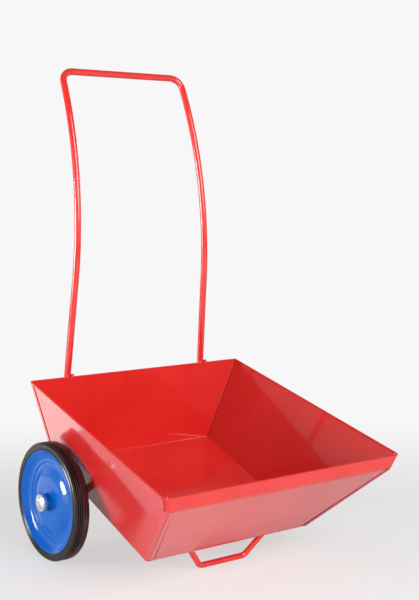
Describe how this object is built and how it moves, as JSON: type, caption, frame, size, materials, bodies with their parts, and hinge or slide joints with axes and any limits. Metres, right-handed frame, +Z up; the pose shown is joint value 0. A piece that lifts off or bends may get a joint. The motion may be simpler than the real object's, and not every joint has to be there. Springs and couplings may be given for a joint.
{
  "type": "wheelbarrow",
  "caption": "Small two-wheeled push barrow: sloping sheet steel tub with a rolled rim, one tall bowed bar handle, low wheels behind and a bar foot under the front",
  "frame": {"origin": "ground level under the centre of the bounding box", "axes": "X to the right across the barrow, Y towards the handle, Z up; the front of the tub faces -Y"},
  "size_m": [0.4798, 0.477, 0.8339],
  "materials": {
    "red_enamel": "glossy baked enamel",
    "blue_enamel": "glossy baked enamel",
    "axle_steel": "glossy baked enamel, bare on the journals",
    "tyre_rubber": "smooth moulded rubber",
    "bush_plastic": "moulded, self-lubricating",
    "washer_zinc": "bright zinc plate",
    "cap_chrome": "bright plate, pressed"
  },
  "bodies": {
    "barrow": {"tub": "red_enamel", "handle_bar": "red_enamel", "front_foot": "red_enamel", "axle": "axle_steel", "left_outer_washer": "washer_zinc", "left_inner_washer": "washer_zinc", "left_hub_cap": "cap_chrome", "right_outer_washer": "washer_zinc", "right_inner_washer": "washer_zinc", "right_hub_cap": "cap_chrome"},
    "left_wheel": {"left_tyre": "tyre_rubber", "left_outer_disc": "blue_enamel", "left_inner_disc": "blue_enamel", "left_hub_sleeve": "blue_enamel", "left_outer_bush": "bush_plastic", "left_inner_bush": "bush_plastic"},
    "right_wheel": {"right_tyre": "tyre_rubber", "right_outer_disc": "blue_enamel", "right_inner_disc": "blue_enamel", "right_hub_sleeve": "blue_enamel", "right_outer_bush": "bush_plastic", "right_inner_bush": "bush_plastic"}
  },
  "joints": [
    {"name": "left_wheel_spin", "type": "hinge", "parent": "barrow", "child": "left_wheel", "pos_m": [0, 0.12915, 0.1], "axis": [1, 0, 0], "continuous": true},
    {"name": "right_wheel_spin", "type": "hinge", "parent": "barrow", "child": "right_wheel", "pos_m": [0, 0.12915, 0.1], "axis": [1, 0, 0], "continuous": true}
  ]
}
